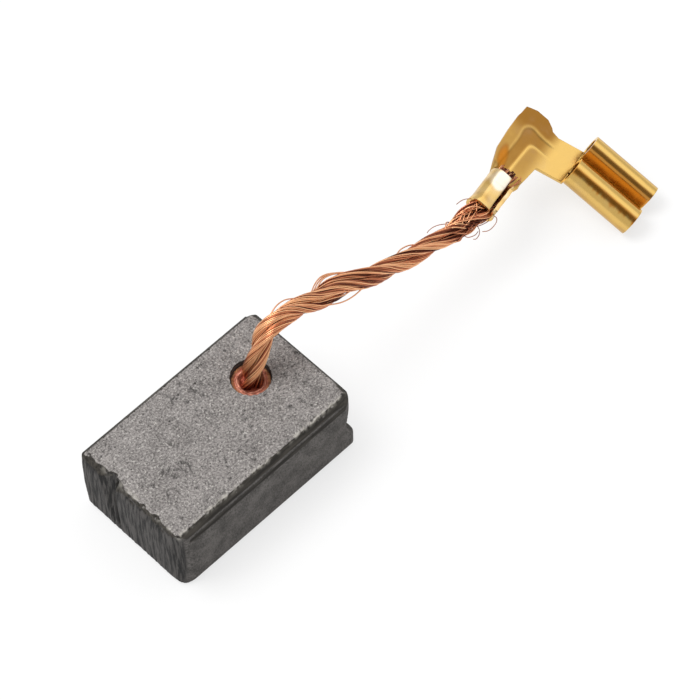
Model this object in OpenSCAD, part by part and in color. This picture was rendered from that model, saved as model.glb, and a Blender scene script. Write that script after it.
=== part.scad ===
// Carbon brush: a pressed carbon block with a tamped copper pigtail and a brass flag terminal.
// Frame: the block stands on z = 0, centred on x and y. +X is the spring end, over which the
// pigtail leads away, -X is the contact face, and the pigtail leaves the top face along +Z.
// The terminal stands on the open end of its receptacle, level with the block's underside.

/* [Carbon block] */
// Length of the block, from the contact face to the spring end
block_l = 15.9; // [14:0.1:22]
// Width of the block
block_w = 9.8; // [8:0.1:14]
// Thickness of the block
block_t = 6.3; // [5.5:0.1:8]
// Radius of the upright edges
corner_r = 0.8; // [0.4:0.1:1.2]
// Radius of the one upright edge of the contact face that has worn rounder
worn_r = 1.4; // [1.2:0.1:2]
// Inward reach of the chamfer along the top face's long edges and spring end
chamfer_in = 0.5; // [0.3:0.05:0.8]
// Downward reach of that chamfer
chamfer_down = 0.9; // [0.5:0.05:1.1]
// Depth of the recess that runs along each side under the chamfer's flash line
recess_d = 0.2; // [0.05:0.05:0.3]
// Inward reach of the worn edge along the top of the contact face
worn_in = 0.36; // [0.1:0.02:0.5]
// Downward reach of that worn edge
worn_down = 1.8; // [0.4:0.1:2.4]
// Radius of the edges round the underside
bottom_r = 0.6; // [0.2:0.05:0.9]

/* [Spring groove] */
// Width of the groove across the spring end
groove_w = 3.8; // [2.5:0.1:4]
// Depth of the groove
groove_d = 1.05; // [0.4:0.05:1.2]

/* [Worn contact end] */
// Distance of the gouge in the contact face from the block's middle
gouge_y = 1.7; // [-3:0.1:3]
// Depth of the gouge at the top face, from where it runs out towards the underside
gouge_d = 0.8; // [0.4:0.05:1]
// Width of the gouge's gentle side
gouge_wide = 1.3; // [0.6:0.1:1.8]
// Width of the gouge's steep side
gouge_steep = 0.25; // [0.1:0.05:0.5]
// Depth of the chips along the top edge
chip_d = 0.3; // [0.1:0.05:0.5]

/* [Bore and tamped copper] */
// Diameter of the bore
bore_d = 2.7; // [2.4:0.05:3.4]
// Depth of the bore below the top face
bore_depth = 4.4; // [3.5:0.1:4.8]
// Distance of the bore's axis from the spring end
bore_from_end = 4.05; // [3.4:0.05:6]
// Distance of the bore's axis from the block's middle
bore_y = 0.9; // [-1.5:0.1:1.5]
// Depth of the tamped copper's rim below the top face
tamping_drop = 0.4; // [0.1:0.05:0.8]
// Width of the raised ring round the pigtail
ring_w = 0.3; // [0.15:0.05:0.35]
// Height of that ring
ring_h = 0.12; // [0.05:0.01:0.3]

/* [Pigtail] */
// Diameter of the pigtail
pigtail_d = 1.5; // [1.3:0.05:1.8]

/* [Brass terminal] */
// Thickness of the brass sheet
sheet_t = 0.28; // [0.2:0.02:0.4]
// Length of the crimp barrel
crimp_l = 3; // [2.4:0.1:4]
// Length of the plate beyond the crimp barrel
plate_l = 6.3; // [6:0.1:8]
// Reach of the plate's outer edge beyond the crimp's axis
plate_out = 1.75; // [1.3:0.05:2.5]
// Reach of the plate's inner edge, where the neck starts
plate_in = 1.45; // [1.2:0.05:2]
// Width of the stiffening channel pressed into the plate
channel_w = 1; // [0.6:0.05:1.2]
// Depth of that channel
channel_d = 0.18; // [0.08:0.02:0.25]
// Width of the neck
neck_w = 3; // [2.4:0.1:3.4]
// Length of the neck
neck_l = 2; // [1.4:0.1:3]
// Length of the receptacle
receptacle_l = 5.5; // [4.5:0.1:7]
// Outer diameter of the receptacle's two rolled edges
roll_d = 2.1; // [1.6:0.05:2.15]
// Width of the flat male tab that the receptacle takes
tab_w = 2.8; // [2.8:0.1:3.4]
// Thickness of that tab
tab_t = 0.5; // [0.4:0.05:0.6]

/* [Hidden] */
$fn = 48;
eps = 0.02; // lets a cut run past the face it starts from

// Block
bore_x = block_l / 2 - bore_from_end;
bore_floor = block_t - bore_depth;
groove_r = (groove_w * groove_w / 4 + groove_d * groove_d) / (2 * groove_d);

// Tamped copper
tamping_top = block_t - tamping_drop;
tamping_floor = bore_floor + 0.4; // thickness of the copper under the pigtail's end

// Pigtail: its route is one smooth curve through these points, from its end in the
// tamped copper, over the block's spring end and down into the crimp barrel.
route = [
    [3.9, 0.9, 2.3], [3.9, 0.9, 3.8], [3.9, 0.9, 5.2], [4.0, 0.9, 6.4], [4.4, 0.9, 7.6],
    [5.0, 1.0, 8.9], [5.7, 1.0, 9.9], [6.9, 0.9, 10.3], [8.4, 0.75, 9.9], [9.8, 0.65, 9.4],
    [11.2, 0.65, 9.0], [12.6, 0.55, 8.35], [14.0, 0.45, 7.6], [15.4, 0.4, 6.9], [16.8, 0.35, 6.2],
    [18.2, 0.35, 5.7], [19.6, 0.3, 5.3], [21.0, 0.2, 5.0], [22.4, 0.1, 4.9], [23.6, 0.05, 4.9],
    [24.7, 0.1, 4.8], [26.3, 0.4, 4.8], [27.9, 0.75, 4.8]
];
tube_sides = 8;
crimp_mouth = route[20];

// Terminal, laid out flat: x along the crimp, y across it, the receptacle towards -y
terminal_turn = 12; // turn of the crimp's axis about the vertical, as the route's last points lie
crimp_r = pigtail_d / 2 + sheet_t;
fold_end = 114; // angle at which the folded wing ends, from the terminal's flank
wing_l = 2.6;
wing_h = 0.9;
wing_lean = 0.1; // lean of the standing wing over the strands
plate_end = crimp_l + plate_l;
root_y = 0.7 * crimp_r; // half of the plate's width where it leaves the crimp
root_l = 0.7; // run over which its inner edge widens from there
flare_l = 4; // run over which its outer edge does
tip_cut = 1; // size of the cut corners at the plate's end
neck_x = plate_end - 0.5 - neck_w; // the neck starts half a millimetre short of the plate's end
neck_skew = 0.5; // sideways run of the neck on its way to the receptacle
neck_end = -plate_in - neck_l;
roll_r = roll_d / 2;
edge_hold = 0.28; // reach of the tab's edges under the rolls
roll_span = tab_w - 2 * edge_hold;
tab_play = 0.1;
receptacle_x = neck_x + neck_skew + neck_w / 2 + 0.4; // set off a little towards the plate's end
receptacle_end = neck_end - receptacle_l;
channel_r = (channel_w * channel_w / 4 + channel_d * channel_d) / (2 * channel_d);
channel_y = 0.5;
channel_start = crimp_l + 1;
channel_x = plate_end - 1.75;

// Lean about the crimp's axis that brings the receptacle's open end down to z = 0
reach = norm([receptacle_end, crimp_r]);
terminal_lean = asin(crimp_mouth.z / reach) - atan(crimp_r / -receptacle_end);

// The block's outline from above, with one corner of the contact face worn rounder
module plan_outline() difference() {
    union() {
        square([block_l - 2 * corner_r, block_w], center = true);
        square([block_l, block_w - 2 * corner_r], center = true);
        for (sx = [-1, 1], sy = [-1, 1])
            translate([sx * (block_l / 2 - corner_r), sy * (block_w / 2 - corner_r)]) circle(corner_r);
    }
    translate([-block_l / 2 + worn_r, -block_w / 2 + worn_r]) difference() {
        translate([-worn_r - eps, -worn_r - eps]) square(worn_r + eps);
        circle(worn_r);
    }
}

// Edge profiles, as [inward, downward] points from the top face down: a worn edge, rounder
// the higher its `bulge`, and a pressed edge with its flash line and the recess under that
function worn_edge(in, down, bulge) =
    [for (t = [0:0.2:1]) [in * pow(1 - t, bulge), down * pow(t, bulge)]];
function pressed_edge() = [
    [chamfer_in, 0], [0.2 * chamfer_in, 0.5 * chamfer_down],
    [recess_d, 0.7 * chamfer_down], [0.7 * recess_d, 0.95 * chamfer_down],
    [0.2 * recess_d, 1.15 * chamfer_down], [0, 1.6 * chamfer_down]
];

// The block's outline from one side: round below, its top edges cut back by `left` and `right`
module side_outline(l, left, right) {
    translate([-l / 2 + bottom_r, 0]) square([l - 2 * bottom_r, 2 * bottom_r]);
    for (s = [-1, 1]) translate([s * (l / 2 - bottom_r), bottom_r]) circle(bottom_r);
    polygon(concat(
        [[-l / 2, bottom_r], [l / 2, bottom_r]],
        [for (i = [len(right) - 1:-1:0]) [l / 2 - right[i].x, block_t - right[i].y]],
        [for (e = left) [-l / 2 + e.x, block_t - e.y]]));
}

// The pressed block before drilling and wear
module pressed_block() intersection() {
    linear_extrude(block_t) plan_outline();
    rotate([90, 0, 90]) linear_extrude(2 * block_l, center = true)
        side_outline(block_w, pressed_edge(), pressed_edge());
    rotate([90, 0, 0]) linear_extrude(2 * block_w, center = true)
        side_outline(block_l, worn_edge(worn_in, worn_down, 2),
                worn_edge(chamfer_in, 1.8 * chamfer_down, 1.5));
}

// Rounded seat for the spring, across the whole spring end at half the thickness
module spring_groove()
    translate([block_l / 2 - groove_d + groove_r, 0, block_t / 2])
        rotate([90, 0, 0]) cylinder(r = groove_r, h = 2 * block_w, center = true);

// Gouge down the contact face, with one steep and one gentle side. It leans, so that it is
// deep at the top face and runs out at the underside.
module gouge()
    translate([-block_l / 2 - gouge_d, gouge_y, 0]) rotate([0, atan(gouge_d / block_t), 0])
        linear_extrude(2 * block_t)
            polygon([[-eps, -gouge_steep], [gouge_d, 0], [-eps, gouge_wide]]);

// One shell-shaped chip out of the top edge of the contact face
module chip(y, size)
    translate([-block_l / 2 + worn_in + chip_d * size - 1.6 * size, y, block_t + 0.6 * size])
        sphere(r = 1.6 * size);

module carbon_block() color("dimgray") difference() {
    pressed_block();
    spring_groove();
    gouge();
    for (c = [[2.7, 0.8], [1.5, 1], [-2.4, 0.4], [3.8, 0.5]]) chip(c[0], c[1]);
    translate([bore_x, bore_y, bore_floor]) cylinder(d = bore_d, h = bore_depth + eps);
}

// Copper powder tamped into the bore, with a raised ring where the tool pressed round the pigtail
module copper_tamping() color("peru") translate([bore_x, bore_y, 0]) {
    hole_r = pigtail_d / 2;
    rotate_extrude() polygon([
        [0, bore_floor], [bore_d / 2, bore_floor], [bore_d / 2, tamping_top],
        [hole_r + ring_w, tamping_top - ring_h], [hole_r + ring_w / 2, tamping_top],
        [hole_r, tamping_top - 2 * ring_h], [hole_r, tamping_floor], [0, tamping_floor]
    ]);
}

// Direction of the route at point i
function heading(i) =
    let (a = route[max(i - 1, 0)], b = route[min(i + 1, len(route) - 1)]) (b - a) / norm(b - a);

// Ring of the tube round point i, square to the route
function tube_ring(i) =
    let (d = heading(i), side = [0, 1, 0], up = cross(side, d) / norm(cross(side, d)), out = cross(d, up))
    [for (k = [0 : tube_sides - 1])
        let (a = 360 * k / tube_sides) route[i] + pigtail_d / 2 * (cos(a) * up + sin(a) * out)];

module pigtail() color("chocolate") {
    last = len(route) - 1;
    polyhedron(
        points = [for (i = [0 : last]) each tube_ring(i)],
        faces = concat(
            [[for (k = [tube_sides - 1 : -1 : 0]) k]],
            [for (i = [0 : last - 1], k = [0 : tube_sides - 1])
                let (n = (k + 1) % tube_sides, a = i * tube_sides, b = a + tube_sides)
                [a + k, a + n, b + n, b + k]],
            [[for (k = [0 : tube_sides - 1]) last * tube_sides + k]]
        )
    );
}

// Open crimp barrel: one wing folded over the strands, the other left standing beside them
module crimp_barrel() translate([0, 0, crimp_r]) rotate([90, 0, 90]) {
    linear_extrude(crimp_l) difference() {
        circle(crimp_r);
        circle(crimp_r - sheet_t);
        polygon([
            [0, 0], 2 * crimp_r * [cos(fold_end), sin(fold_end)], [-2 * crimp_r, 2 * crimp_r],
            [-2 * crimp_r, 0]
        ]);
    }
    linear_extrude(wing_l) polygon([
        [-crimp_r, -eps], [sheet_t - crimp_r, -eps], [sheet_t - crimp_r + wing_lean, wing_h],
        [wing_lean - crimp_r, wing_h]
    ]);
}

// Flat outline of the plate and neck
module plate_outline() polygon([
    [crimp_l - eps, -root_y], [crimp_l + root_l, -0.86 * plate_in], [neck_x, -plate_in],
    [neck_x + neck_skew, neck_end], [neck_x + neck_skew + neck_w, neck_end],
    [neck_x + neck_w, -plate_in], [neck_x + neck_w, 0.4 * tip_cut - plate_in],
    [plate_end, tip_cut - plate_in], [plate_end, plate_out - 0.9 * tip_cut],
    [plate_end - 0.2 * tip_cut, plate_out - 0.1 * tip_cut], [crimp_l + flare_l, plate_out],
    [crimp_l + 2 * root_l, 0.75 * plate_out], [crimp_l - eps, root_y]
]);

// L-shaped run of a round bar, for pressing the stiffening channel
module channel_bar(r) translate([0, 0, sheet_t + channel_r - channel_d]) {
    translate([channel_start, channel_y, 0]) rotate([0, 90, 0])
        cylinder(r = r, h = channel_x - channel_start);
    translate([channel_x, channel_y, 0]) sphere(r = r);
    translate([channel_x, channel_y, 0]) rotate([90, 0, 0]) cylinder(r = r, h = channel_y + plate_in);
}

module plate() difference() {
    union() {
        linear_extrude(sheet_t) plate_outline();
        intersection() {
            channel_bar(channel_r + sheet_t);
            translate([crimp_l, -plate_in, -roll_d])
                cube([plate_l, plate_in + plate_out, roll_d + sheet_t / 2]);
        }
    }
    channel_bar(channel_r);
}

// Flat floor with two rolled edges, which hold a male tab down on the floor
module receptacle()
    translate([receptacle_x, neck_end + eps, 0]) rotate([90, 0, 0]) linear_extrude(receptacle_l + eps) {
        translate([-roll_span / 2, 0]) square([roll_span, sheet_t]);
        for (s = [-1, 1]) translate([s * roll_span / 2, roll_r]) difference() {
            circle(roll_r);
            circle(roll_r - sheet_t);
            translate([s > 0 ? -roll_r : 0, -roll_r]) square([roll_r, sheet_t + tab_t + tab_play]);
        }
    }

module terminal() color("goldenrod")
    translate(crimp_mouth) rotate([terminal_lean, 0, terminal_turn]) translate([0, 0, -crimp_r]) {
        crimp_barrel();
        plate();
        receptacle();
    }

carbon_block();
copper_tamping();
pigtail();
terminal();
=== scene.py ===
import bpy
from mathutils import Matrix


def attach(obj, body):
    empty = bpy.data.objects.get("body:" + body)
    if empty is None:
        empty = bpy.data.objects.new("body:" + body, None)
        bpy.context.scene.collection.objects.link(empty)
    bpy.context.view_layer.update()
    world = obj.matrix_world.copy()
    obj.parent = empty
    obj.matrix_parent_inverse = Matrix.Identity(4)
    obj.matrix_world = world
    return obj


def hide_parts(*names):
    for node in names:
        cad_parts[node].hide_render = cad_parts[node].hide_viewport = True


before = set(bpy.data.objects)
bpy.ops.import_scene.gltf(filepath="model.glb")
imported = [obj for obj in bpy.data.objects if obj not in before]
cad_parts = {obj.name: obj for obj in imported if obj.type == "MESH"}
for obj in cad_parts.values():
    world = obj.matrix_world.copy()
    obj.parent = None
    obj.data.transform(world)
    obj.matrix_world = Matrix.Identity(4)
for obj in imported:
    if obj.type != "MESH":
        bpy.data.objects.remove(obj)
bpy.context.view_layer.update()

import math
import random

import bpy
import numpy as np
from mathutils import Matrix, Vector, noise


def put_in_scene(name, data):
    """A new object with the given data, in the scene."""
    made = bpy.data.objects.new(name, data)
    bpy.context.scene.collection.objects.link(made)
    return made


def store(mesh, name, values):
    """Keeps a value at each of a mesh's points, for its finish to read."""
    mesh.attributes.new(name, "FLOAT", "POINT").data.foreach_set("value", values)


def work_in_modifiers(thing):
    """Gives an object the mesh that its modifiers make of it, and returns that mesh."""
    bpy.context.view_layer.update()
    graph = bpy.context.evaluated_depsgraph_get()
    made = bpy.data.meshes.new_from_object(thing.evaluated_get(graph))
    thing.modifiers.clear()
    thing.data = made
    return made


# Camera: looks down on the brush from over its contact face, with a long lens, so that the
# top of the block, its near side and the contact face all show.
camera = put_in_scene("camera", bpy.data.cameras.new("camera"))
bpy.context.scene.camera = camera
camera.data.sensor_width = 36
camera.data.lens = 171.35
camera.data.clip_start, camera.data.clip_end = 0.01, 5
camera_azimuth, camera_elevation, camera_roll = (math.radians(a) for a in (-43.342, 58.053, -1.781))
towards_camera = Vector((
    math.sin(camera_azimuth) * math.cos(camera_elevation),
    -math.cos(camera_azimuth) * math.cos(camera_elevation),
    math.sin(camera_elevation)))
camera_right = Vector((math.cos(camera_azimuth), math.sin(camera_azimuth), 0))
camera_up = towards_camera.cross(camera_right)
camera.matrix_world = (
    Matrix.Translation((-0.06966, -0.08659, 0.19227))
    @ Matrix((camera_right, camera_up, towards_camera)).transposed().to_4x4()
    @ Matrix.Rotation(camera_roll, 4, "Z"))


# Pigtail: three bunches of fine bare copper wires, laid up with a right-hand twist. It is
# tamped into the block, bends over the spring end and runs into the crimp, where its wires
# have come loose. A few wires stand off the bunches along the way.
pigtail_exit = (0.0039, 0.0009, 0.0063)
pigtail_diameter = 0.0015
pigtail_route = (
    (0.0039, 0.0009, 0.0023), (0.0039, 0.0009, 0.0038), (0.0039, 0.0009, 0.0052),
    (0.0040, 0.0009, 0.0064), (0.0044, 0.0009, 0.0076), (0.0050, 0.0010, 0.0089),
    (0.0057, 0.0010, 0.0099), (0.0069, 0.0009, 0.0103), (0.0084, 0.00075, 0.0099),
    (0.0098, 0.00065, 0.0094), (0.0112, 0.00065, 0.0090), (0.0126, 0.00055, 0.00835),
    (0.0140, 0.00045, 0.0076), (0.0154, 0.0004, 0.0069), (0.0168, 0.00035, 0.0062),
    (0.0182, 0.00035, 0.0057), (0.0196, 0.0003, 0.0053), (0.0210, 0.0002, 0.0050),
    (0.0224, 0.0001, 0.0049), (0.0236, 0.00005, 0.0049), (0.0247, 0.0001, 0.0048),
    (0.0263, 0.0004, 0.0048), (0.0279, 0.00075, 0.0048))
crimp_point = pigtail_route[20]  # where the pigtail enters the crimp
bunch_wires = ((17, 0.000298), (11, 0.00019))  # wires in each layer of a bunch, and its radius
bunch_offset = 0.0004  # from the pigtail's middle to each bunch's
wire_radius = 0.000052
# Distance along the pigtail, in mm, at which each bunch in turn comes over the top
bunch_changes = (-1.4, 2.4, 5.8, 9.25, 12.3, 17.35, 21.55, 25.4, 29.0, 33.0)
random.seed(4)


def smooth_curve(points, per_span=10):
    """Points along a curve that runs smoothly through the given ones."""
    p = np.array(points, float)
    p = np.vstack([2 * p[0] - p[1], p, 2 * p[-1] - p[-2]])
    made = []
    for a, b, c, d in zip(p, p[1:], p[2:], p[3:]):
        for t in np.arange(per_span) / per_span:
            made.append(0.5 * (2 * b + (c - a) * t + (2 * a - 5 * b + 4 * c - d) * t ** 2
                               + (3 * b - a - 3 * c + d) * t ** 3))
    return np.array(made + [p[-2]])


def unit(vectors):
    return vectors / np.linalg.norm(vectors, axis=-1, keepdims=True)


# The route continued a little past its end, for the wires that poke out of the crimp
pigtail_end = np.array(pigtail_route[-1])
wire_overrun = pigtail_end + 0.5e-3 * unit(pigtail_end - np.array(pigtail_route[-2]))
pigtail_line = smooth_curve(list(pigtail_route) + [wire_overrun])
pigtail_mm = 1000 * np.r_[0, np.cumsum(np.linalg.norm(np.diff(pigtail_line, axis=0), axis=1))]
pigtail_ahead = unit(np.gradient(pigtail_line, axis=0))
pigtail_side = np.array([0, 0.9, 0.43])
pigtail_side = unit(pigtail_side - (pigtail_ahead @ pigtail_side)[:, None] * pigtail_ahead)
pigtail_back = np.cross(pigtail_ahead, pigtail_side)
crimp_mm = float(np.interp(crimp_point[0], pigtail_line[:, 0], pigtail_mm))


def around_pigtail(mm, radius, angle):
    """Points at given distances along the pigtail, radii and angles round it."""
    line, side, back = (
        np.stack([np.interp(mm, pigtail_mm, part[:, i]) for i in range(3)], 1)
        for part in (pigtail_line, pigtail_side, pigtail_back))
    radius, angle = (np.broadcast_to(v, len(mm))[:, None] for v in (radius, angle))
    return line + radius * (np.cos(angle) * side + np.sin(angle) * back)


class Wires:
    """Round wires gathered into one mesh, each with a value from 0, dull and red, to 1, bright,
    that holds its own colour and its painted shade and painted highlight.
    """

    def __init__(self):
        self.points, self.faces, self.tones_and_shading = [], [], []

    def draw(self, line, radius, tone, sides=6):
        """Adds one wire along a line of points."""
        ahead = unit(np.gradient(line, axis=0))
        across = np.cross(ahead[0], (0.31, 0.52, 0.8))
        for i, (point, direction) in enumerate(zip(line, ahead)):
            across = unit(across - across.dot(direction) * direction)
            over = np.cross(direction, across)
            for k in range(sides):
                turn = 2 * math.pi * k / sides
                outward = math.cos(turn) * across + math.sin(turn) * over
                self.points.append(point + radius * outward)
            if i:
                b = len(self.points) - sides
                a = b - sides
                self.faces += [(a + k, a + (k + 1) % sides, b + (k + 1) % sides, b + k)
                               for k in range(sides)]
        first = len(self.points) - sides * len(line)
        self.faces.append(tuple(range(first + sides - 1, first - 1, -1)))
        self.faces.append(tuple(range(len(self.points) - sides, len(self.points))))
        self.tones_and_shading += list(np.repeat(np.broadcast_to(tone, len(line)), sides))

    def object(self, name):
        """The wires drawn so far, as one object."""
        mesh = bpy.data.meshes.new(name)
        mesh.from_pydata(self.points, [], self.faces)
        store(mesh, "tone", self.tones_and_shading)
        mesh.shade_smooth()
        return put_in_scene(name, mesh)


def wander(mm, amount, pace):
    """A smooth random drift along the pigtail, in the units of amount."""
    knots = np.arange(mm[0] - pace, mm[-1] + 2 * pace, pace)
    drift = [random.uniform(-amount, amount) for _ in knots]
    return np.interp(mm, knots, drift)


wires = Wires()
twist_at = np.radians(np.arange(len(bunch_changes)) * 120.0)
swell_mm = (0, 12.3, 13.9, 15.5, 17.3, 24.0, 25.2, 26.4, 28.2, crimp_mm + 0.6, 99)
swell = (1, 0.98, 1.15, 1.1, 1.0, 0.92, 0.92, 1.1, 1.22, 0.95, 0.9)
for bunch in range(3):
    for count, layer_radius in bunch_wires:
        for wire in range(count):
            end = pigtail_mm[-1] - random.uniform(0, 0.55)
            mm = np.append(np.arange(0, end - 0.1, 0.28), end)
            turn = np.interp(mm, bunch_changes, twist_at)
            girth = np.interp(mm, swell_mm, swell)
            loose = np.interp(mm, (0, 11, 14, 17, 25, 27, 99), (0.5, 0.6, 1.6, 0.8, 0.8, 3.2, 3.0))
            centre = turn + math.radians(60 + 120 * bunch - 360)
            angle = (2 * math.pi * wire / count + 0.5 * turn + bunch
                     + loose * wander(mm, 0.16, 2.6))
            radius = girth * (layer_radius + loose * wander(mm, 0.000022, 1.7))
            offset = bunch_offset * girth
            x = offset * np.cos(centre) + radius * np.cos(centre + angle)
            y = offset * np.sin(centre) + radius * np.sin(centre + angle)
            # Painted shade down in the bore and where the wires run into the crimp, and a painted
            # highlight where the pigtail bends over, on each wire's own random colour
            tone = random.uniform(-0.3, 1.7) + wander(mm, 0.4, 1.2)
            tone = tone - np.interp(mm, (0, 3.2, 4.6, 6, 7.5, 9.5, 11, 24.4, 26.2, 99),
                                    (0.9, 0.7, 0.3, -0.1, -0.45, -0.3, 0, 0.05, 0.95, 0.9))
            wires.draw(around_pigtail(mm, np.hypot(x, y), np.arctan2(y, x)),
                       wire_radius * random.uniform(0.8, 1.08), tone)

# Wires that stand off the bunches: distance along in mm, radius in mm and angle in degrees
standing_wires = (
    ((11.6, 0.45, 30), (12.2, 0.58, 14), (12.9, 0.9, 4), (13.7, 1.12, 0), (14.6, 1.08, -4),
     (15.5, 0.88, -8), (16.5, 0.66, -12), (17.4, 0.5, -24)),
    ((11.7, 0.45, 34), (12.4, 0.60, 20), (13.1, 0.88, 10), (13.9, 1.04, 4), (14.9, 0.98, 0),
     (15.8, 0.8, -4), (16.7, 0.6, -10), (17.6, 0.45, -24)),
    ((11.9, 0.45, 40), (12.7, 0.66, 26), (13.5, 0.92, 16), (14.3, 0.94, 10), (15.3, 0.84, 2),
     (16.3, 0.68, -6), (17.5, 0.45, -20)),
    ((8.2, 0.45, 50), (8.9, 0.62, 22), (9.5, 0.80, 8), (10.2, 0.86, 0), (10.9, 0.74, -8),
     (11.8, 0.55, -20)),
    ((12.2, 0.5, 215), (13.0, 0.72, 200), (13.8, 0.95, 190), (14.6, 1.0, 184), (15.5, 0.86, 176),
     (16.4, 0.6, 160)),
    ((19.9, 0.45, 40), (20.7, 0.66, 16), (21.4, 0.78, 2), (22.2, 0.74, -8), (23.0, 0.5, -24)))
for standing in standing_wires:
    mm, radius, angle = smooth_curve(standing, 6).T
    wires.draw(around_pigtail(mm, radius / 1000, np.radians(angle)), 0.9 * wire_radius, 0.75)

# Wires worked loose where the crimp grips the bundle, and the longer ones that curl away
frayed_wires = 54
for _ in range(frayed_wires):
    start, angle = crimp_mm - random.uniform(-0.1, 2.9), random.uniform(0, 2 * math.pi)
    run, sweep = random.uniform(0.9, 2.0), random.uniform(-1.6, 1.6)
    lift = random.uniform(0.68, 0.92) * (0.86 if start < crimp_mm - 1.6 else 1)
    fray = [(start - run * (0.5 - t), lift * (1 - 0.34 * abs(2 * t - 1) ** 2), angle + sweep * t)
            for t in (0, 0.25, 0.5, 0.75, 1)]
    mm, radius, angle = smooth_curve(fray, 5).T
    wires.draw(around_pigtail(mm, radius / 1000, angle),
               0.8 * wire_radius, random.uniform(0.1, 1.0))
curled_wires = (
    ((-2.6, 0.6, 10), (-3.1, 0.86, 2), (-3.6, 0.98, 0), (-4.1, 0.95, 2), (-4.4, 0.86, 6)),
    ((0.1, 0.8, 30), (-0.2, 1.1, 18), (-0.7, 1.3, 8), (-1.2, 1.32, 4)),
    ((0.2, 0.9, 200), (0.5, 1.15, 188), (0.2, 1.4, 180), (-0.5, 1.45, 176), (-1.0, 1.25, 172)),
    ((-0.8, 0.7, 200), (-0.9, 1.0, 190), (-1.2, 1.25, 184), (-1.6, 1.35, 180), (-1.8, 1.25, 178)),
    ((-1.0, 0.8, 225), (-0.4, 1.0, 215), (0.1, 1.05, 200), (0.3, 0.95, 190)),
    ((-2.2, 0.7, 170), (-2.0, 0.95, 176), (-1.5, 1.1, 182), (-1.1, 1.05, 188)),
    ((2.5, 0.6, 150), (2.9, 0.95, 142), (3.3, 1.1, 138), (3.5, 0.95, 150), (3.2, 0.85, 165)),
    ((2.6, 0.6, 130), (3.0, 0.85, 122), (3.4, 0.95, 128), (3.5, 0.8, 140), (3.3, 0.7, 150)),
    ((2.7, 0.6, 165), (3.1, 0.9, 160), (3.5, 1.05, 155), (3.8, 0.9, 150)))
for curled in curled_wires:
    mm, radius, angle = smooth_curve(curled, 7).T
    wires.draw(around_pigtail(crimp_mm + mm, radius / 1000, np.radians(angle)),
               0.55 * wire_radius, 0.1)


class Value:
    """A number that runs over a surface. Arithmetic on it adds Math nodes to its finish."""

    def __init__(self, finish, socket):
        self.finish, self.socket = finish, socket

    def maths(self, operation, *terms):
        return self.finish.node("ShaderNodeMath", {"operation": operation}, dict(enumerate(terms)))

    def __add__(self, other): return self.maths("ADD", self, other)
    def __radd__(self, other): return self.maths("ADD", other, self)
    def __sub__(self, other): return self.maths("SUBTRACT", self, other)
    def __rsub__(self, other): return self.maths("SUBTRACT", other, self)
    def __mul__(self, other): return self.maths("MULTIPLY", self, other)
    def __rmul__(self, other): return self.maths("MULTIPLY", other, self)

    def rise(self, low, high):
        """0 below low and 1 above high, with a smooth step between."""
        return self.finish.node("ShaderNodeMapRange", {"interpolation_type": "SMOOTHSTEP"},
                                {"Value": self, "From Min": low, "From Max": high})


class Nodes:
    """The nodes of a material or of the world."""

    def __init__(self, owner):
        owner.use_nodes = True
        self.tree = owner.node_tree

    def set(self, node, inputs):
        """Links or writes a node's inputs."""
        for name, value in inputs.items():
            if isinstance(value, Value):
                self.tree.links.new(value.socket, node.inputs[name])
            else:
                node.inputs[name].default_value = value

    def node(self, kind, settings, inputs, gives=0):
        """Adds a node with its settings, then its inputs, and returns one of its outputs."""
        made = self.tree.nodes.new(kind)
        for name, value in settings.items():
            if name == "stops":
                ramp = made.color_ramp
                while len(ramp.elements) < len(value):
                    ramp.elements.new(1)
                for element, (position, colour) in zip(ramp.elements, value):
                    element.position, element.color = position, colour
            else:
                setattr(made, name, value)
        self.set(made, inputs)
        return Value(self, made.outputs[gives])

    def mix(self, share, low, high):
        """A colour that goes from low to high as share goes from 0 to 1."""
        return self.node("ShaderNodeMix", {"data_type": "RGBA"}, {0: share, 6: low, 7: high}, 2)


class Finish(Nodes):
    """The finish of one kind of surface, as a material."""

    def __init__(self, name, **constants):
        self.material = bpy.data.materials.new(name)
        super().__init__(self.material)
        self.shader = self.tree.nodes["Principled BSDF"]
        self.set(self.shader, {k.replace("_", " "): v for k, v in constants.items()})

    def place(self):
        """Where a point is on the part, in metres."""
        return self.node("ShaderNodeTexCoord", {}, {}, "Object")

    def stored(self, name):
        """The value that the mesh keeps under a name at each of its points."""
        return self.node("ShaderNodeAttribute", {"attribute_name": name}, {}, "Fac")

    def grain(self, size, detail=2.0, stretch=(1, 1, 1), roughness=0.5, turn=(0, 0, 0)):
        """Noise about 0.5 whose blotches are about size metres, drawn out along stretch."""
        place = self.node("ShaderNodeMapping", {"vector_type": "TEXTURE"},
                          {"Vector": self.place(), "Scale": stretch, "Rotation": turn})
        return self.node("ShaderNodeTexNoise", {}, {
            "Vector": place, "Scale": 0.5 / size, "Detail": detail, "Roughness": roughness})

    def surface(self, **inputs):
        """Connects what varies over the surface to the shader."""
        height, depth = inputs.pop("height", None), inputs.pop("depth", 0)
        if height is not None:
            inputs["Normal"] = self.node(
                "ShaderNodeBump", {}, {"Height": height, "Distance": depth})
        self.set(self.shader, {k.replace("_", " "): v for k, v in inputs.items()})
        return self.material


def colour(red, green, blue):
    """A colour given as it looks on a screen, from 0 to 255."""
    return tuple(((c / 255 + 0.055) / 1.055) ** 2.4 if c > 10 else c / 3294.6
                 for c in (red, green, blue)) + (1,)


copper = Finish("bare_copper", Metallic=1)
# Each wire's own colour, with painted shade in the bore and crimp and a painted highlight at the
# bend
wire_tone_and_shading = copper.stored("tone")
wire_blotch = copper.grain(0.0005)
copper_shade = (wire_tone_and_shading + (wire_blotch - 0.5) * 0.5) * 0.72 + 0.29
copper_colour = copper.node("ShaderNodeValToRGB", {"stops": (
    (0.0, colour(88, 44, 32)), (0.25, colour(154, 90, 68)), (0.55, colour(212, 136, 97)),
    (1.0, colour(252, 194, 146)))}, {"Fac": copper_shade}, "Color")
copper.surface(Base_Color=copper_colour, Roughness=0.3 + wire_blotch * 0.12)

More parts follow.
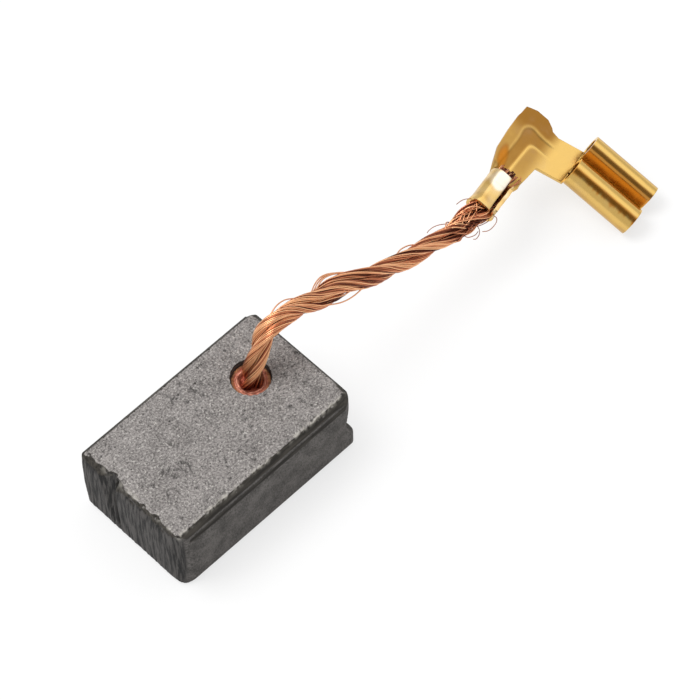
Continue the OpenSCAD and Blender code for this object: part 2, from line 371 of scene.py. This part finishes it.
pigtail = wires.object("copper_pigtail")
pigtail.data.materials.append(copper.material)
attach(pigtail, "root")
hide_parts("pigtail")


# Terminal: one stamped strip of brass. One end is rolled round the wires as a crimp, a flat
# plate with an L-shaped pressed channel stiffens the corner, and a short neck leads to the
# receptacle, whose two edges are rolled over to hold a flat tab. It stands on that open end.
sheet = 0.00028
crimp_mouth = Vector(crimp_point)
crimp_radius = pigtail_diameter / 2 + sheet
crimp_length = 0.003
plate_in = -0.00145  # the plate's inner edge, where the neck starts
neck_start, neck_width, neck_length, neck_skew = 0.0058, 0.003, 0.002, 0.0005
receptacle_length, receptacle_set_off = 0.0055, 0.0004
receptacle_end = plate_in - neck_length - receptacle_length
receptacle_middle = neck_start + neck_skew + neck_width / 2 + receptacle_set_off
terminal_turn = math.radians(12)
terminal_reach = math.hypot(receptacle_end, crimp_radius)
# Lean about the crimp that brings the receptacle's open end down to the table
terminal_lean = (math.asin(crimp_mouth.z / terminal_reach)
                 - math.atan(crimp_radius / -receptacle_end))
terminal_place = (
    Matrix.Translation(crimp_mouth) @ Matrix.Rotation(terminal_turn, 4, "Z")
    @ Matrix.Rotation(terminal_lean, 4, "X") @ Matrix.Translation((0, 0, -crimp_radius)))


class Strip:
    """The strip's middle surface, built up as grids of points and thickened afterwards."""

    def __init__(self):
        self.points, self.faces, self.places = [], [], {}

    def point(self, place):
        """Number of the point at a place, which is shared by all the grids that reach it."""
        key = tuple(round(c * 1e6) for c in place)
        if key not in self.places:
            self.places[key] = len(self.points)
            self.points.append(place)
        return self.places[key]

    def grid(self, rows):
        """Adds the faces between rows of places."""
        numbers = [[self.point(place) for place in row] for row in rows]
        for low, high in zip(numbers, numbers[1:]):
            for a, b, c, d in zip(low, low[1:], high[1:], high):
                if len({a, b, c, d}) == 4:
                    self.faces.append((a, b, c, d))


def step(value, low, high):
    """0 below low and 1 above high, with a smooth step between."""
    t = min(max((value - low) / (high - low), 0), 1)
    return t * t * (3 - 2 * t)


strip = Strip()

# Crimp barrel: the section runs from the top of the standing wing down and round the wires to
# the edge of the folded wing, which is pressed flat on top.
wing_middle = crimp_radius - sheet / 2
wing_height, fold_end = 0.0009, 114  # standing wing; angle at which the folded one ends
pressed_top = 0.00074  # height over the wires' middle at which the folded wing is pressed flat
crimp_rows = []
for i in range(49):
    along = crimp_length * 1.01 * i / 48
    standing = step(along, -0.0004, 0.0003) * (1 - step(along, 0.0023, 0.0027))
    height = 0.00002 + wing_height * standing
    wobble = 0.00005 * noise.noise(Vector((along * 2000, 2, 7)))
    row = [(along, -wing_middle + 0.00010 * t + wobble * t, crimp_radius + height * t)
           for t in np.arange(8, 0, -1) / 8]
    flare = 0.00008 * (1 - step(along, 0, 0.0006))
    for k in range(61):
        angle = math.radians(-180 + (180 + fold_end) * k / 60)
        folded = step(math.degrees(angle), 0, 60)
        dent = 0.00004 * noise.noise(Vector((along * 1300, k * 0.12, 3)))
        radius = wing_middle + flare + dent * folded
        z = radius * math.sin(angle)
        flat = (pressed_top - 0.00006 * step(along, 0.0018, 0.0022)
                + 0.10 * (radius * math.cos(angle) - 0.0003))
        z = z if z < flat else flat + 0.25 * (z - flat)
        row.append((along, radius * math.cos(angle), crimp_radius + z))
    crimp_rows.append(row)
strip.grid(crimp_rows)

# Plate and neck: the plate's edges rise towards the crimp, and the channel runs along the
# plate from the crimp and turns the corner towards the neck.
channel = ((crimp_length, 0.00046), (0.0075, 0.00032), (0.0075, -0.0019))
channel_half, channel_corner = 0.0005, 0.00018
left_edge = (
    (0.0029, 0.00070), (0.0033, 0.00092), (0.0038, 0.00110), (0.0045, 0.00136), (0.0052, 0.00160),
    (0.0068, 0.00173), (0.0082, 0.00175), (0.0085, 0.00169), (0.00912, 0.00166), (0.0094, 0.00087))
right_edge = (
    (0.0029, -0.00080), (0.0031, -0.00105), (0.0036, -0.00123), (0.0047, -0.00135),
    (0.0058, -0.00145), (0.0088, -0.00145), (0.0089, -0.00086), (0.0091, -0.00066),
    (0.0094, -0.00010))


def from_channel(x, y):
    """Distance of a point from the channel's sides, negative inside it, with round corners."""
    near = 0
    for (ax, ay), (bx, by) in zip(channel, channel[1:]):
        t = ((x - ax) * (bx - ax) + (y - ay) * (by - ay)) / ((bx - ax) ** 2 + (by - ay) ** 2)
        t = min(max(t, 0), 1)
        apart = math.hypot(x - ax - t * (bx - ax), y - ay - t * (by - ay))
        near += math.exp(-apart / channel_corner)
    return -channel_corner * math.log(near) - channel_half


def plate_height(x, y):
    """Height of the strip's middle surface over the plate and neck."""
    trough = 0.0007 * (1 - step(x, 0.0030, 0.0043)) * min(abs(y) / 0.0013, 1.1) ** 2.4
    pressed = 0.00004 * (1 - step(from_channel(x, y), -0.0002, 0))
    return sheet / 2 + trough - pressed * step(y, -0.0022, -0.0012)


columns = np.linspace(left_edge[0][0], left_edge[-1][0], 66)
plate_rows = []
for x in columns:
    low = np.interp(x, *zip(*right_edge))
    high = np.interp(x, *zip(*left_edge))
    plate_rows.append([(x, y, plate_height(x, y)) for y in np.linspace(low, high, 37)])
strip.grid(plate_rows)
neck_columns = [x for x in columns if neck_start - 1e-6 < x < neck_start + neck_width + 1e-6]
neck_run = neck_length + 0.0001  # a little way into the receptacle
strip.grid([
    [(x + neck_skew * t, plate_in - neck_run * t, plate_height(x, plate_in - neck_length * t))
     for t in np.arange(20, -1, -1) / 20] for x in neck_columns])

# Receptacle: the section runs from the lip of the near edge, over its roll, across the floor,
# over the far edge's roll, which is tighter, and down to the far lip.
near_roll, far_roll = (-0.00112, 0.00105), (0.00126, 0.00095)  # middle across the floor, radius


def rolled_edge(radius, turned, flank):
    """A rolled edge's section about its middle: up its outside from the floor, over the top
    until it has turned so far, then a straight flank down to the lip at another angle."""
    middle = radius - sheet / 2
    points = [(middle * math.cos(math.radians(a)), radius + middle * math.sin(math.radians(a)))
              for a in np.linspace(-90, turned, 40)]
    (x, z), bends = points[-1], np.linspace(turned, flank, 5)
    for a, run in [(b, 0.00006) for b in bends] + [(flank, 0.00014)] * 6:
        x, z = x - run * math.sin(math.radians(a)), z + run * math.cos(math.radians(a))
        points.append((x, z))
    return points


section = [(near_roll[0] - x, z) for x, z in reversed(rolled_edge(near_roll[1], 150, 166))]
section += [(x, sheet / 2) for x in np.linspace(near_roll[0], far_roll[0], 13)[1:-1]]
section += [(far_roll[0] + x, z) for x, z in rolled_edge(far_roll[1], 112, 150)]
receptacle_start = plate_in - neck_length
strip.grid([
    [(receptacle_middle + x, receptacle_start + (receptacle_end - receptacle_start) * i / 60, z)
     for x, z in section] for i in range(61)])


def round_roll(roll, x, z):
    """Angle of a place round a roll, from the horizontal under the far side, in degrees."""
    return math.degrees(math.atan2(z - roll[1], x - receptacle_middle - roll[0])) % 360


def by_crimp(x, y):
    """Painted shade and warm reflection on the plate beside the crimp's far edge."""
    along, across = x - 0.0048, y - 0.0009
    return 1 - step(math.hypot(along / 0.0010, (across - 0.25 * along) / 0.0004), 0.3, 1.2)


def dull_and_shading_amount(x, y, z):
    """How dull the brass is painted: at random on the crimp; darker over the plate than on the
    neck, more in the channel and at the plate's tip; painted shade and reflection on the rolls'
    outer flanks and undersides and beside the crimp; painted highlights along the channel's edges;
    least on the neck and the crests.
    """
    if x < crimp_length:
        return 0.15 + 0.5 * noise.noise(Vector((x * 1800, y * 1800, z * 900)))
    if y < receptacle_start:
        # Painted reflection and shade on the rolls' outer flanks and undersides
        near, far = round_roll(near_roll, x, z), round_roll(far_roll, x, z)
        if x < receptacle_middle:
            return 0.4 * step(near, 150, 180) * (1 - step(near, 265, 270))
        return 0.5 * (1 - step(far, 45, 66)) + 0.5 * step(far, 280, 300)
    on_plate = step(y, -0.0022, -0.0006)
    beside = from_channel(x, y)
    inner_side = x < channel[1][0] and y < channel[1][1]
    # Painted highlights along the channel's edges, weaker on its outer side
    edge_highlight = math.exp(-(beside / 0.00008) ** 2) * (1 if inner_side else 0.45)
    at_tip = step(x, 0.0070, 0.0084) * step(beside, 0, 0.0003)
    in_channel = 1 - step(beside, -0.0002, 0)
    return (on_plate * (0.60 + 0.22 * in_channel - 0.45 * edge_highlight + 0.36 * at_tip)
            + 0.7 * by_crimp(x, y))


def brown_shading_amount(x, y, z):
    """How much painted brown shade and reflection the brass takes: beside the crimp, and in a
    ragged streak along each roll.
    """
    if y > receptacle_start:
        return 0.95 * by_crimp(x, y)
    if x > receptacle_middle:
        return 0.8 * step(round_roll(far_roll, x, z), 98, 103) * (z > 0.001)
    ragged = 16 * noise.noise(Vector((y * 1500, 3, 1))) + 12 * noise.noise(Vector((y * 5000, 5, 1)))
    over = round_roll(near_roll, x, z)
    return step(over, 94, 101) * (1 - step(over, 114 + ragged, 130 + 1.4 * ragged))


def crimp_glint_amount(x, y, z):
    """A painted highlight on the folded wing's top, near white towards the plate, over a faint
    lighter smear across the rest of it.
    """
    if x > crimp_length * 1.02 or z < crimp_radius or y < -0.0009:
        return 0
    patch = math.hypot((x - 0.0024) / 0.0010, (y - 0.0001) / 0.00062)
    smear = noise.noise(Vector((x * 1500, y * 1500, 1)))
    return 0.2 + 0.25 * smear + 0.8 * (1 - step(patch + 0.3 * smear, 0.55, 1.05))


terminal_mesh = bpy.data.meshes.new("brass_terminal")
terminal_mesh.from_pydata(strip.points, [], strip.faces)
for name, amount in (("dull", dull_and_shading_amount), ("brown", brown_shading_amount), ("pale", crimp_glint_amount)):
    store(terminal_mesh, name, [amount(*place) for place in strip.points])
terminal = put_in_scene("brass_terminal", terminal_mesh)
thickness = terminal.modifiers.new("sheet thickness", "SOLIDIFY")
thickness.thickness, thickness.offset = sheet, 0
edges = terminal.modifiers.new("worn edges", "BEVEL")
edges.width, edges.segments, edges.angle_limit = 0.00004, 2, math.radians(50)
shaped = work_in_modifiers(terminal)
shaped.transform(terminal_place)
shaped.shade_smooth()
shaped.set_sharp_from_angle(angle=math.radians(40))

brass = Finish("stamped_brass", Metallic=1)
dull, brown, pale = (brass.stored(name) for name in ("dull", "brown", "pale"))
stain = brass.grain(0.0008, 3)
# Dull brass: random on the crimp; elsewhere painted shade, painted reflection and painted highlight
# lines
brass_colour = brass.mix((dull + (stain - 0.5) * 0.4).rise(0, 1),
                         colour(228, 188, 108), colour(156, 110, 48))
# Painted brown shade and reflection
brass_colour = brass.mix(brown * 0.85, brass_colour, colour(206, 128, 34))
# Painted highlight on the folded wing
brass_colour = brass.mix((pale + (stain - 0.5) * 0.6).rise(0, 1),
                         brass_colour, colour(255, 245, 226))
rolled = brass.grain(0.0002, 2, stretch=(10, 1, 1), turn=(0, 0, terminal_turn))
ripple = brass.grain(0.0007, 2)
shaped.materials.clear()
shaped.materials.append(brass.surface(
    Base_Color=brass_colour, Roughness=0.16 + 0.14 * stain + 0.1 * dull,
    height=ripple + 0.12 * rolled, depth=0.00003))
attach(terminal, "root")
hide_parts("terminal")


# Tamped copper: powder rammed into the bore round the pigtail. The tool leaves a raised
# ring close to the wires and a crumbly brown rim against the carbon.
bore_x, bore_y = pigtail_exit[:2]
bore_mm = 1.35  # radius of the bore
# Profile of the copper, from the bore's floor up its wall and in towards the wires, in mm
tamped_profile = ((bore_mm, 1.9), (bore_mm, 5.84), (1.28, 5.9), (1.14, 5.86), (1.08, 5.8),
                  (1.02, 5.84), (0.98, 5.9), (0.92, 5.9), (0.86, 5.84), (0.78, 5.72),
                  (0.66, 5.62), (0.4, 5.56))
tamped_rings = smooth_curve(tamped_profile[1:], 5)
tamped_points, tamped_faces = [], []
tamped_turns = 120
for radius, height in [tamped_profile[0], *tamped_rings]:
    for k in range(tamped_turns):
        turn = 2 * math.pi * k / tamped_turns
        spot = Vector((radius * math.cos(turn), radius * math.sin(turn), 0))
        inside = min(1, (bore_mm - radius) / 0.1)
        rough = 0.10 * noise.fractal(spot * 3.1, 1, 2, 4) if height > 3 else 0
        swell_out = 1 + 0.05 * inside * noise.noise(spot * 1.7 + Vector((5, 1, 2)))
        tamped_points.append((
            bore_x + spot.x * swell_out / 1000, bore_y + spot.y * swell_out / 1000,
            (height + min(rough, 0.04) * inside) / 1000))
for ring in range(len(tamped_rings)):
    for k in range(tamped_turns):
        a, b = ring * tamped_turns + k, ring * tamped_turns + (k + 1) % tamped_turns
        tamped_faces.append((a, b, b + tamped_turns, a + tamped_turns))
tamped_faces.append(tuple(range(tamped_turns - 1, -1, -1)))
tamped_faces.append(tuple(range(len(tamped_rings) * tamped_turns, len(tamped_points))))
tamped_mesh = bpy.data.meshes.new("tamped_copper")
tamped_mesh.from_pydata(tamped_points, [], tamped_faces)
tamped_mesh.shade_smooth()
tamped = put_in_scene("tamped_copper", tamped_mesh)

packed = Finish("tamped_copper", Metallic=0.55, Roughness=0.5)
from_axis = packed.node("ShaderNodeVectorMath", {"operation": "DISTANCE"},
                        {0: packed.node("ShaderNodeVectorMath", {"operation": "MULTIPLY"},
                                        {0: packed.place(), 1: (1, 1, 0)}),
                         1: (bore_x, bore_y, 0)}, "Value")
powder = packed.grain(0.00016, 3)
from_axis_ragged = from_axis + (powder - 0.5) * 0.0002
at_rim = from_axis_ragged.rise(0.00108, 0.0012)
crater = 1 - from_axis_ragged.rise(0.00068, 0.00092)
packed_colour = packed.mix(powder.rise(0.3, 0.7), colour(178, 110, 90), colour(222, 156, 132))
rim_colour = packed.mix(powder.rise(0.35, 0.65), colour(134, 88, 58), colour(178, 122, 84))
packed_colour = packed.mix(at_rim, packed_colour, rim_colour)
# The dip round the wires: its own redder colour and painted shade
packed_colour = packed.mix(crater, packed_colour, colour(158, 78, 58))
tamped_mesh.materials.append(packed.surface(Base_Color=packed_colour, height=powder, depth=0.00004))
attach(tamped, "root")
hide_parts("copper_tamping")


# Carbon block: carbon and graphite powder pressed and baked, then ground. The pressed sides
# have a chamfer with a fine flash line, the contact face is worn into fine upright grooves
# with one deep gouge, and the edges have crumbled in places.
half_length, half_width, block_top = 0.00795, 0.0049, 0.0063
chamfer_in, chamfer_down = 0.0005, 0.0009
block = put_in_scene("pressed_block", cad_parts["carbon_block"].data.copy())
remesh = block.modifiers.new("even mesh", "REMESH")
remesh.mode, remesh.voxel_size = "VOXEL", 0.0001
block_mesh = work_in_modifiers(block)
places = np.zeros(3 * len(block_mesh.vertices))
block_mesh.vertices.foreach_get("co", places)
places = places.reshape(-1, 3)


def rises(values, low, high):
    """The smooth step, over many values at once."""
    t = np.clip((values - low) / (high - low), 0, 1)
    return t * t * (3 - 2 * t)


def rough(scale, octaves=3, seed=0.0):
    """Noise at each point of the block, with a scale in features to the millimetre."""
    spots = places * 1000 * np.array(scale) + seed
    return np.array([noise.fractal(Vector(s), 1.0, 2.0, octaves) for s in spots])


def bend(middle):
    """A slow bend up the contact face: 1 at the height middle, and less above and below it."""
    return np.cos((z - middle) / middle * 2.2)


x, y, z = places.T
to_contact = x + half_length
to_side = half_width - np.abs(y)
to_top = block_top - z
# Fine upright grooves on the contact face, and a sideways bend that takes the gouge with it
on_contact = 1 - rises(to_contact, 0.0002, 0.0006)
contact_push = on_contact * (
    0.000030 * rough((0.0, 4.2, 0.25), 3) + 0.000018 * rough((0, 11, 0.6), 2, 7))
places[:, 1] += on_contact * 0.00012 * bend(0.0035)
# Crumbled edges: the nearer a point is to two faces at once, the more it may lose
edge_top = np.exp(-(to_top / 0.00035) ** 2)
edge_front = edge_top * np.exp(-(to_contact / 0.0006) ** 2)
crumble = np.clip(rough((1.6, 1.6, 1.6), 3, 3.0) - 0.12, 0, 1)
crumble_fine = np.clip(rough((4.5, 4.5, 4.5), 2, 9.0) - 0.1, 0, 1)
edge_long = edge_top * np.exp(-((to_side - chamfer_in) / 0.00022) ** 2)
places[:, 0] += contact_push + edge_front * 0.00030 * crumble
places[:, 2] -= edge_front * 0.00022 * crumble + edge_long * 0.00016 * crumble_fine
places[:, 1] -= np.sign(y) * edge_long * 0.00010 * crumble_fine
# The spring end's top corners, rubbed round in plan, and its top edge, rubbed round near them
side_here = half_width - chamfer_in * rises(z, block_top - chamfer_down, block_top)
for side, radius in ((-1, 0.0014), (1, 0.0009)):
    past_end = x - (half_length - radius)
    past_side = side * y - (side_here - radius)
    apart = np.hypot(past_end, past_side)
    pull = (past_end > 0) * (past_side > 0) * np.clip(1 - radius / apart, 0, 1)
    pull = pull * rises(z, 0.0034, 0.0050)
    places[:, 0] -= past_end * pull
    places[:, 1] -= side * past_side * pull
    edge_round = 0.0011 * rises(side * y, 0.0015, 0.0042) + 0.0001
    past_end, past_top = x - (half_length - edge_round), z - (block_top - edge_round)
    apart = np.hypot(past_end, past_top)
    pull = (past_end > 0) * (past_top > 0) * np.clip(1 - edge_round / apart, 0, 1)
    pull = pull * (side * y > 0)
    places[:, 0] -= past_end * pull
    places[:, 2] -= past_top * pull
# The gouge, a crack that bends as it runs down
gouge_line = 0.00128 + 0.00016 * bend(0.0044)
gouge = np.exp(-((y - gouge_line - 0.00005) / 0.00011) ** 2) * rises(z, 0.0005, 0.0022)
places[:, 0] += on_contact * 0.0004 * gouge
# Pits in the ground top face
top_face = rises(-to_top, -0.00004, 0.0)
pits = np.clip(rough((3.4, 3.4, 3.4), 2, 21.0) - 0.34, 0, 1)
places[:, 2] -= top_face * 0.00010 * pits
block_mesh.vertices.foreach_set("co", places.ravel())
# Where the edges have crumbled to a paler grain, with a painted highlight on their crest, and where
# the marks are dark, with painted shade in the gouge and the pits
crumbs = np.exp(-((to_side - 0.00052) / 0.00012) ** 2)
crumbs = crumbs + 0.6 * np.exp(-((to_contact - 0.00036) / 0.00014) ** 2)
crumbs = crumbs * edge_top * np.clip(0.3 + 2.4 * rough((2.6, 2.6, 2.6), 3, 31.0), 0, 1)
crumbs = crumbs * (y < 0.003)
# Painted shade in the gouge
scar = on_contact * np.exp(-((y - gouge_line - 0.00003) / 0.00013) ** 2) * rises(z, 0.0006, 0.003)
# Marks on the top face: a ring, two curved scratches and a crack, each as how strongly it
# shows and its points in mm
top_marks = (
    (0.4, ((5.0, 0.0), (5.3, 0.3), (5.8, 0.2), (6.2, -0.3), (6.2, -0.9), (5.9, -1.3))),
    (1.0, ((-3.9, -0.4), (-3.6, -0.7), (-3.5, -1.0), (-3.7, -1.4))),
    (0.6, ((-4.7, -0.2), (-4.5, -0.6), (-4.1, -0.9), (-3.9, -1.3))),
    (0.8, ((-1.2, 4.3), (-0.9, 3.6), (-1.1, 3.0))))
for strength, mark in top_marks:
    line = smooth_curve(mark, 8) / 1000
    apart = np.min([np.hypot(x - px, y - py) for px, py in line], axis=0)
    scar = np.maximum(scar, strength * top_face * np.exp(-(apart / 0.00007) ** 2))
# The pits are painted dark as well: painted shade in them
for name, amount in (("crumbs", crumbs), ("scar", np.maximum(scar, 1.7 * top_face * pits))):
    store(block_mesh, name, np.clip(amount, 0, 1))
block_mesh.update()
block_mesh.shade_smooth()

carbon = Finish("pressed_carbon", Specular_IOR_Level=0.3)
facing = carbon.node("ShaderNodeNewGeometry", {}, {}, "Normal")
facing_up = carbon.node("ShaderNodeSeparateXYZ", {}, {0: facing}, "Z")
facing_front = 0 - carbon.node("ShaderNodeSeparateXYZ", {}, {0: facing}, "X")
place_up = carbon.node("ShaderNodeSeparateXYZ", {}, {0: carbon.place()}, "Z")
speck = carbon.grain(0.00007, 3, roughness=0.65)
blotch = carbon.grain(0.0006, 3)
cloud = carbon.grain(0.003, 2)
top_colour = carbon.mix((speck * 0.8 + blotch * 0.2).rise(0.34, 0.66),
                        colour(90, 86, 84), colour(157, 152, 149))
dark_specks = carbon.grain(0.00009, 2, roughness=0.7).rise(0.58, 0.68)
top_colour = carbon.mix(dark_specks * 0.8, top_colour, colour(42, 38, 36))
bright_specks = carbon.grain(0.00007, 1, turn=(1, 0.5, 0.2)).rise(0.60, 0.72)
top_colour = carbon.mix(bright_specks * 0.6, top_colour, colour(196, 192, 186))
# The sides, painted darker than the top: partly the carbon's own colour, partly painted shade
shaded_side_colour = carbon.mix((blotch * 0.4 + speck * 0.6).rise(0.34, 0.66),
                         colour(52, 49, 46), colour(102, 98, 95))
shaded_side_colour = carbon.mix(dark_specks * 0.65, shaded_side_colour, colour(34, 31, 30))
# The contact face, darker still: its own worn colour and painted shade
streaks = carbon.grain(0.00009, 3, stretch=(1, 1, 12), roughness=0.6)
shaded_front_colour = carbon.mix(streaks.rise(0.38, 0.62), colour(14, 13, 12), colour(76, 73, 71))
# The chamfer band, streaked lengthwise: its own colour and painted shade
lengthwise = carbon.grain(0.00009, 3, stretch=(14, 1, 1), roughness=0.6)
shaded_chamfer_colour = carbon.mix(lengthwise.rise(0.36, 0.66), colour(36, 33, 29), colour(64, 60, 54))
block_colour = carbon.mix(facing_front.rise(0.5, 0.8), shaded_side_colour, shaded_front_colour)
on_slope = facing_up.rise(0.18, 0.34) * place_up.rise(0.005, 0.0053)
block_colour = carbon.mix(on_slope, block_colour, shaded_chamfer_colour)
block_colour = carbon.mix(facing_up.rise(0.8, 0.93), block_colour, top_colour)
crumbs, scar = (carbon.stored(name) for name in ("crumbs", "scar"))
# Paler crumbled grain and a painted highlight along the near top edges
block_colour = carbon.mix(crumbs * 0.6, block_colour, colour(200, 195, 185))
# Dark marks on the top, with painted shade in the gouge and the pits
block_colour = carbon.mix(scar * 0.85, block_colour, colour(24, 22, 20))
carbon_relief = speck * 0.6 + blotch * 0.4
block_mesh.materials.clear()
block_mesh.materials.append(carbon.surface(
    Base_Color=block_colour, Roughness=0.62 + 0.2 * cloud, height=carbon_relief, depth=0.00005))
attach(block, "root")
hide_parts("carbon_block")


# Floor and light: a pale table in a white room. A broad lamp hangs overhead to the left and
# a bright window is low on the right; the side where the onlooker stands is dark.
floor_mesh = bpy.data.meshes.new("floor")
floor_mesh.from_pydata([(-3, -3, 0), (3, -3, 0), (3, 3, 0), (-3, 3, 0)], [], [(0, 1, 2, 3)])
floor = put_in_scene("floor", floor_mesh)
table = Finish("pale_table", Roughness=0.9)
floor_mesh.materials.append(table.surface(Base_Color=(0.9, 0.9, 0.9, 1)))
seen = (table.node("ShaderNodeLightPath", {}, {}, "Is Camera Ray")
        + table.node("ShaderNodeLightPath", {}, {}, "Is Glossy Ray")
        + table.node("ShaderNodeLightPath", {}, {}, "Is Transmission Ray"))
white = table.node("ShaderNodeEmission", {}, {"Color": (1, 1, 1, 1), "Strength": 1.0})
white_share = 0.7  # of what is seen of the floor; the rest keeps the shadow
blend = table.node("ShaderNodeMixShader", {}, {
    0: seen * white_share, 1: Value(table, table.shader.outputs[0]), 2: white})
table.set(table.tree.nodes["Material Output"], {"Surface": blend})

lamp = put_in_scene("lamp", bpy.data.lights.new("lamp", "AREA"))
lamp.data.size, lamp.data.energy = 0.26, 1.3
lamp.location = (-0.13, 0.16, 0.40)
lamp.rotation_mode = "QUATERNION"
lamp.rotation_quaternion = (Vector((0.01, 0, 0)) - lamp.location).to_track_quat("-Z", "Y")

world = bpy.data.worlds.new("room")
bpy.context.scene.world = world
room = Nodes(world)
outward = room.node("ShaderNodeTexCoord", {}, {}, "Generated")


def towards(azimuth, elevation):
    """Cosine of the angle between where a ray goes and a direction, given in degrees."""
    a, e = math.radians(azimuth), math.radians(elevation)
    direction = (math.cos(e) * math.cos(a), math.cos(e) * math.sin(a), math.sin(e))
    return room.node("ShaderNodeVectorMath", {"operation": "DOT_PRODUCT"},
                     {0: outward, 1: direction}, "Value")


# The dark onlooker, the window and the skylight, each a soft round patch of the room
onlooker = towards(-101, 56.5).rise(0.89, 0.974)
window = towards(-27, 45).rise(0.914, 0.978)
skylight = towards(25, 62).rise(0.88, 0.97)
walls = 0.72 * (1 - 0.78 * onlooker)
room.set(room.tree.nodes["Background"], {
    "Color": (1, 1, 1, 1), "Strength": walls + 0.52 * window + 0.6 * skylight})
bpy.context.scene.view_settings.view_transform = "Standard"
